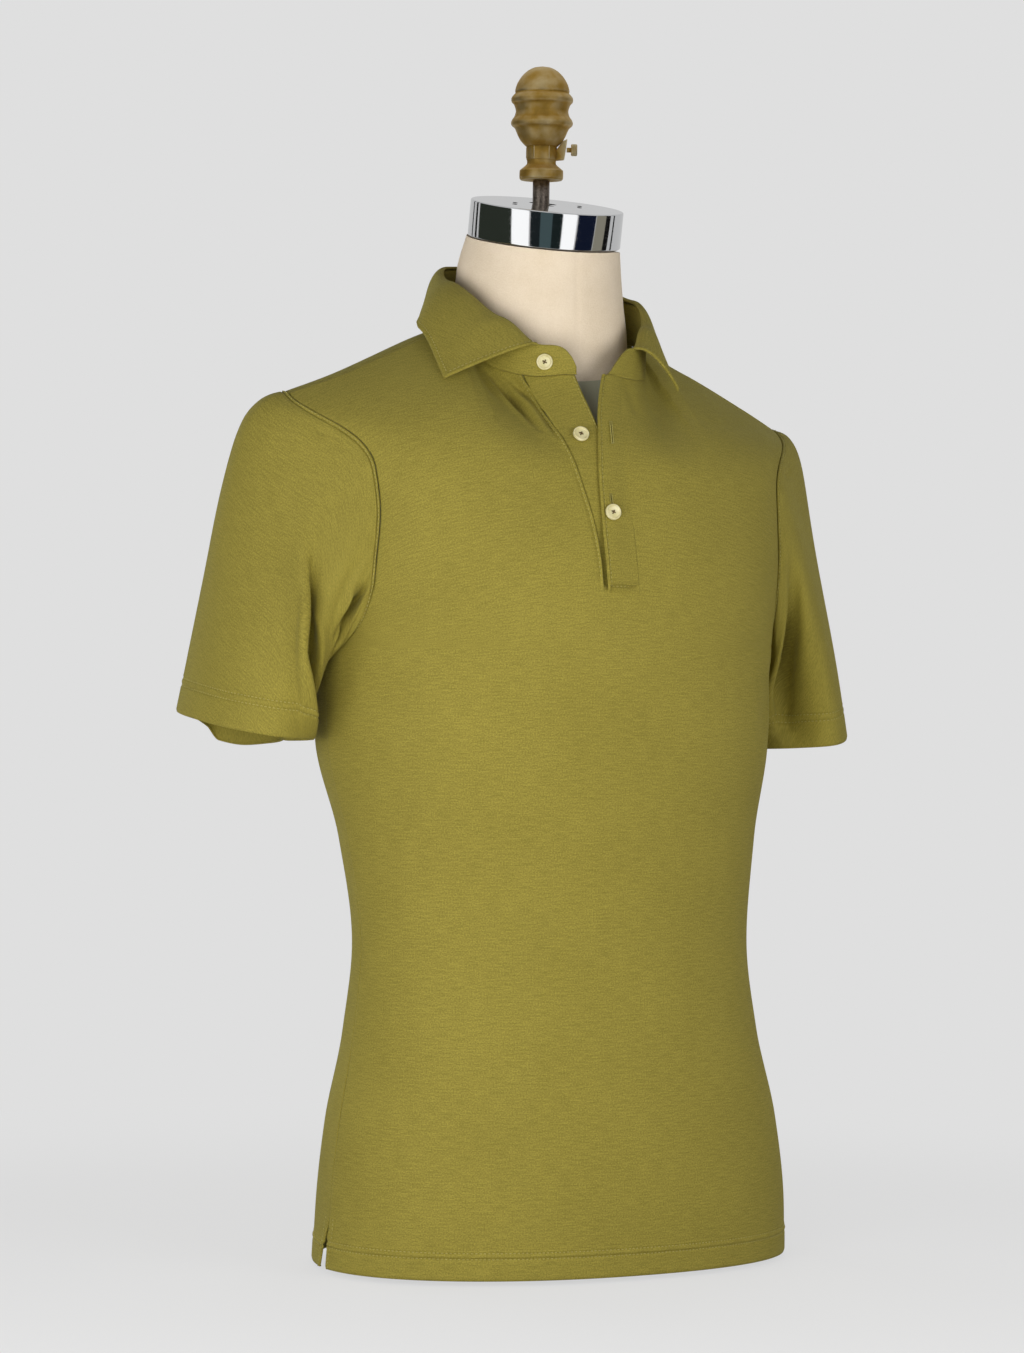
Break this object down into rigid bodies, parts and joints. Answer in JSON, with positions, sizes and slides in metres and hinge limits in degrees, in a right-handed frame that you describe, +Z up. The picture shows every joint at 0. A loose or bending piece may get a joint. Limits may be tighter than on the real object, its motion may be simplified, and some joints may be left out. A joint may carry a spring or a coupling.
{
  "type": "polo shirt on dress form",
  "caption": "Short sleeved knit polo shirt with a turned down collar and an open placket, worn by a limbless dress form with a metal neck cap and a turned knob.",
  "frame": {"origin": "on the flat foot of the form, under the middle of the part's bounding box", "axes": "+Z up along the neck, -Y out of the shirt's front, +X towards the wearer's left"},
  "size_m": [0.531, 0.2617, 0.878],
  "materials": {
    "knit_cotton": "fine jersey knit, olive, soft and matt",
    "button_resin": "polished ivory resin",
    "form_cloth": "stretched unbleached linen over padding",
    "chrome": "bright plated",
    "rod_steel": "dull, lightly pitted",
    "cast_brass": "aged cast brass with darker hollows"
  },
  "bodies": {
    "root": {"front": "knit_cotton", "back": "knit_cotton", "sleeve_right": "knit_cotton", "sleeve_left": "knit_cotton", "collar_stand": "knit_cotton", "collar_leaf": "knit_cotton", "placket_under": "knit_cotton", "placket_over": "knit_cotton", "button_collar": "button_resin", "button_middle": "button_resin", "button_lower": "button_resin", "form_body": "form_cloth", "neck_cap": "chrome", "finial_rod": "rod_steel", "finial": "cast_brass", "thumb_screw": "cast_brass"}
  },
  "joints": []
}
